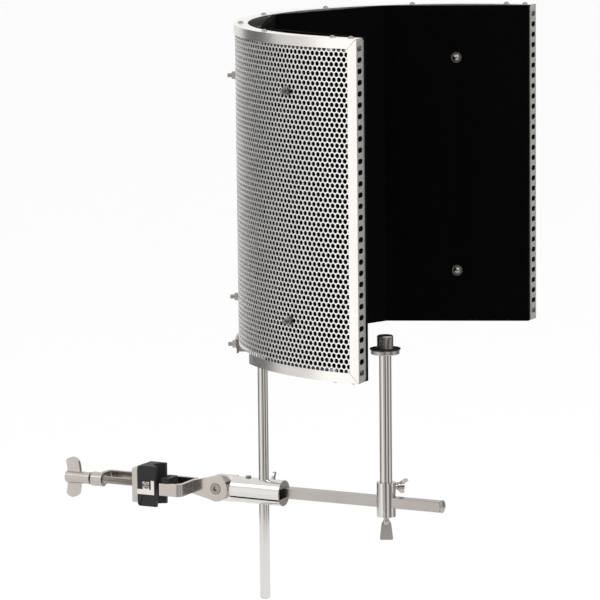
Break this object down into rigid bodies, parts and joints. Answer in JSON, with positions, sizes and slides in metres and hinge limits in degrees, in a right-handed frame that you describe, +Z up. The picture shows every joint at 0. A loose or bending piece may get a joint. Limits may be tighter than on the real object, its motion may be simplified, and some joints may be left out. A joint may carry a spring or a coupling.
{
  "type": "microphone reflection filter",
  "caption": "Curved perforated acoustic screen lined with flat wool panels, on a rod and bar with a microphone post and a screw clamp for a stand tube.",
  "frame": {"origin": "on the axis of the stand tube, at the middle height of the clamp", "axes": "+Z up along the stand tube, +X along the bar towards the singer, +Y to the far side"},
  "size_m": [0.4105, 0.4, 0.5673],
  "materials": {
    "perforated_sheet": "satin",
    "rim_metal": "satin",
    "inner_metal": "plain sheet",
    "foil": "bright",
    "black_wool": "felted wool",
    "zinc_screws": "zinc plated",
    "polished_chrome": "polished",
    "satin_bar": "satin nickel",
    "cast_nickel": "cast, nickel plated",
    "screw_steel": "threaded",
    "black_rubber": "moulded",
    "dark_stud": "gunmetal"
  },
  "bodies": {
    "clamp": {"clamp_frame": "cast_nickel", "anvil_stud": "zinc_screws", "anvil_pad": "black_rubber", "hinge_bolt": "zinc_screws", "hinge_washer": "zinc_screws", "hinge_nut": "zinc_screws"},
    "jaw": {"jaw_plate": "cast_nickel", "jaw_pad": "black_rubber", "pad_clip": "polished_chrome", "pad_screw": "zinc_screws"},
    "clamp_screw": {"clamp_screw": "screw_steel", "screw_circlip": "zinc_screws", "wing_knob": "cast_nickel"},
    "arm": {"knuckle": "polished_chrome", "coupling": "polished_chrome", "bar": "satin_bar", "bar_grub_screw": "zinc_screws", "knuckle_screw": "zinc_screws", "bar_end_stop": "satin_bar"},
    "rod_lock": {"rod_lock_screw": "cast_nickel"},
    "rod": {"filter_rod": "polished_chrome"},
    "shell": {"outer_sheet": "perforated_sheet", "outer_wool": "black_wool", "foil_layer": "foil", "inner_sheet": "inner_metal", "facet_board": "inner_metal", "top_rim": "rim_metal", "bottom_rim_near": "rim_metal", "bottom_rim_far": "rim_metal", "end_strip_near": "rim_metal", "end_strip_far": "rim_metal", "edge_blocks": "inner_metal", "rim_screws_top": "zinc_screws", "rim_screws_bottom": "zinc_screws", "spacer_bolts": "zinc_screws", "spacer_nuts": "zinc_screws", "outer_washers": "zinc_screws", "panel_washers": "zinc_screws", "spacer_tubes": "zinc_screws", "rear_bracket": "satin_bar", "rod_set_screw": "zinc_screws", "bracket_bolts": "zinc_screws", "bracket_nuts": "zinc_screws", "wool_panel_near_wing": "black_wool", "wool_panel_near_back": "black_wool", "wool_panel_far_back": "black_wool", "wool_panel_far_wing": "black_wool"},
    "slider": {"slider": "polished_chrome"},
    "post_lock": {"post_lock_screw": "cast_nickel"},
    "bar_lock": {"bar_lock_screw": "cast_nickel"},
    "post": {"mic_post": "polished_chrome", "mic_flange": "satin_bar", "flange_pad": "black_rubber", "mic_thread": "dark_stud"}
  },
  "joints": [
    {"name": "jaw_slide", "type": "slide", "parent": "clamp", "child": "jaw", "axis": [1, 0, 0], "range_m": [-0.034, 0.002]},
    {"name": "clamp_screw_turn", "type": "hinge", "parent": "jaw", "child": "clamp_screw", "pos_m": [-0.08, 0, 0], "axis": [1, 0, 0], "range_deg": [-6121, 361]},
    {"name": "arm_tilt", "type": "hinge", "parent": "clamp", "child": "arm", "pos_m": [0.0565, 0.012, 0], "axis": [0, 1, 0], "range_deg": [-45, 40]},
    {"name": "rod_lock_turn", "type": "hinge", "parent": "arm", "child": "rod_lock", "pos_m": [0.105, 0.03, 0], "axis": [0, 1, 0], "range_deg": [-360, 0]},
    {"name": "rod_slide", "type": "slide", "parent": "arm", "child": "rod", "axis": [0, 0, 1], "range_m": [-0.12, 0.08]},
    {"name": "shell_swivel", "type": "hinge", "parent": "rod", "child": "shell", "pos_m": [0.105, 0.012, 0.152], "axis": [0, 0, 1], "range_deg": [-30, 30]},
    {"name": "slider_slide", "type": "slide", "parent": "arm", "child": "slider", "axis": [1, 0, 0], "range_m": [-0.065, 0.045]},
    {"name": "post_lock_turn", "type": "hinge", "parent": "slider", "child": "post_lock", "pos_m": [0.245, 0.0285, 0.014], "axis": [0.7071, 0.7071, 0], "range_deg": [-360, 0]},
    {"name": "bar_lock_turn", "type": "hinge", "parent": "slider", "child": "bar_lock", "pos_m": [0.233, 0.0165, -0.02], "axis": [0, 0, -1], "range_deg": [-360, 0]},
    {"name": "post_swivel", "type": "hinge", "parent": "slider", "child": "post", "pos_m": [0.233, 0.0165, 0.02], "axis": [0, 0, 1], "continuous": true}
  ],
  "couplings": [
    {"joint": "clamp_screw_turn", "follows": "jaw_slide", "rad_per_m": 3141.6}
  ]
}
